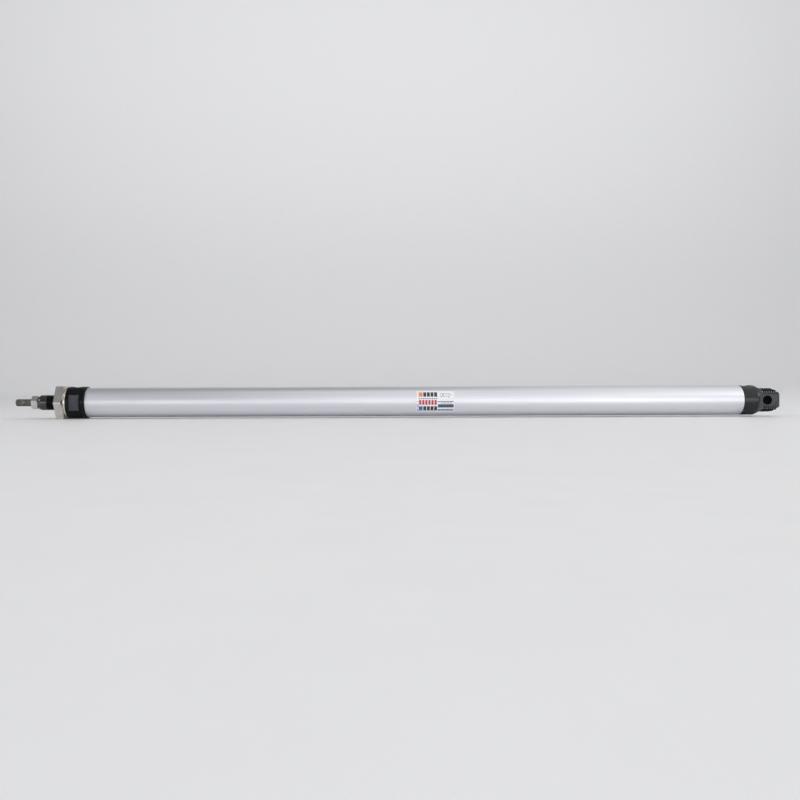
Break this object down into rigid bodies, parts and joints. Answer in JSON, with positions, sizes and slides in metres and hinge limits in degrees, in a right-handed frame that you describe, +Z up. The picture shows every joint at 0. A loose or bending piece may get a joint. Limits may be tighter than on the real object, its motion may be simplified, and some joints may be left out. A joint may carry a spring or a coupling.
{
  "type": "pneumatic cylinder",
  "caption": "Slim round double-acting pneumatic cylinder with a threaded rod, a nose mounting nut and a flat rear tang with a pivot hole; the rod slides and turns.",
  "frame": {"origin": "centre of the rear pivot hole, on the cylinder's axis", "axes": "-X along the rod, out of the nose; Y along the pivot hole, with the label at -Y; +Z up, where both air ports open"},
  "size_m": [0.514, 0.0254, 0.022],
  "materials": {
    "anodised_barrel": "satin clear-anodised, fine drawn lines along the axis",
    "black_anodised": "black anodised aluminium, semi-gloss, fine turning lines",
    "nickel_steel": "nickel-plated steel, satin",
    "spring_steel": "zinc-plated spring steel",
    "rod_steel": "hard-chromed rod with a rolled thread",
    "sintered_bronze": "oil-filled sintered bronze",
    "seal_rubber": "nitrile rubber, matt",
    "bumper_rubber": "polyurethane, satin",
    "wear_plastic": "acetal, matt",
    "piston_aluminium": "turned",
    "magnet_compound": "plastic-bonded magnet",
    "label_film": "printed polyester film"
  },
  "bodies": {
    "housing": {"barrel": "anodised_barrel", "front_cover": "black_anodised", "rear_cover": "black_anodised", "mounting_nut": "nickel_steel", "nut_washer": "spring_steel", "gland_cap": "black_anodised", "rod_wiper": "seal_rubber", "rod_bush": "sintered_bronze", "rod_seal": "seal_rubber", "seal_retainer": "spring_steel", "front_o_ring": "seal_rubber", "rear_o_ring": "seal_rubber", "front_bumper": "bumper_rubber", "rear_bumper": "bumper_rubber", "rating_label": "label_film"},
    "piston_seals": {"piston_seal_front": "seal_rubber", "piston_seal_rear": "seal_rubber", "wear_ring": "wear_plastic"},
    "rod": {"piston_rod": "rod_steel", "piston_front_half": "piston_aluminium", "piston_rear_half": "piston_aluminium", "magnet_ring": "magnet_compound", "rod_o_ring": "seal_rubber", "piston_nut": "nickel_steel", "rod_nut": "nickel_steel"}
  },
  "joints": [
    {"name": "rod_slide", "type": "slide", "parent": "housing", "child": "piston_seals", "axis": [-1, 0, 0], "range_m": [0, 0.4]},
    {"name": "rod_spin", "type": "hinge", "parent": "piston_seals", "child": "rod", "pos_m": [0, 0, 0], "axis": [-1, 0, 0], "continuous": true}
  ]
}
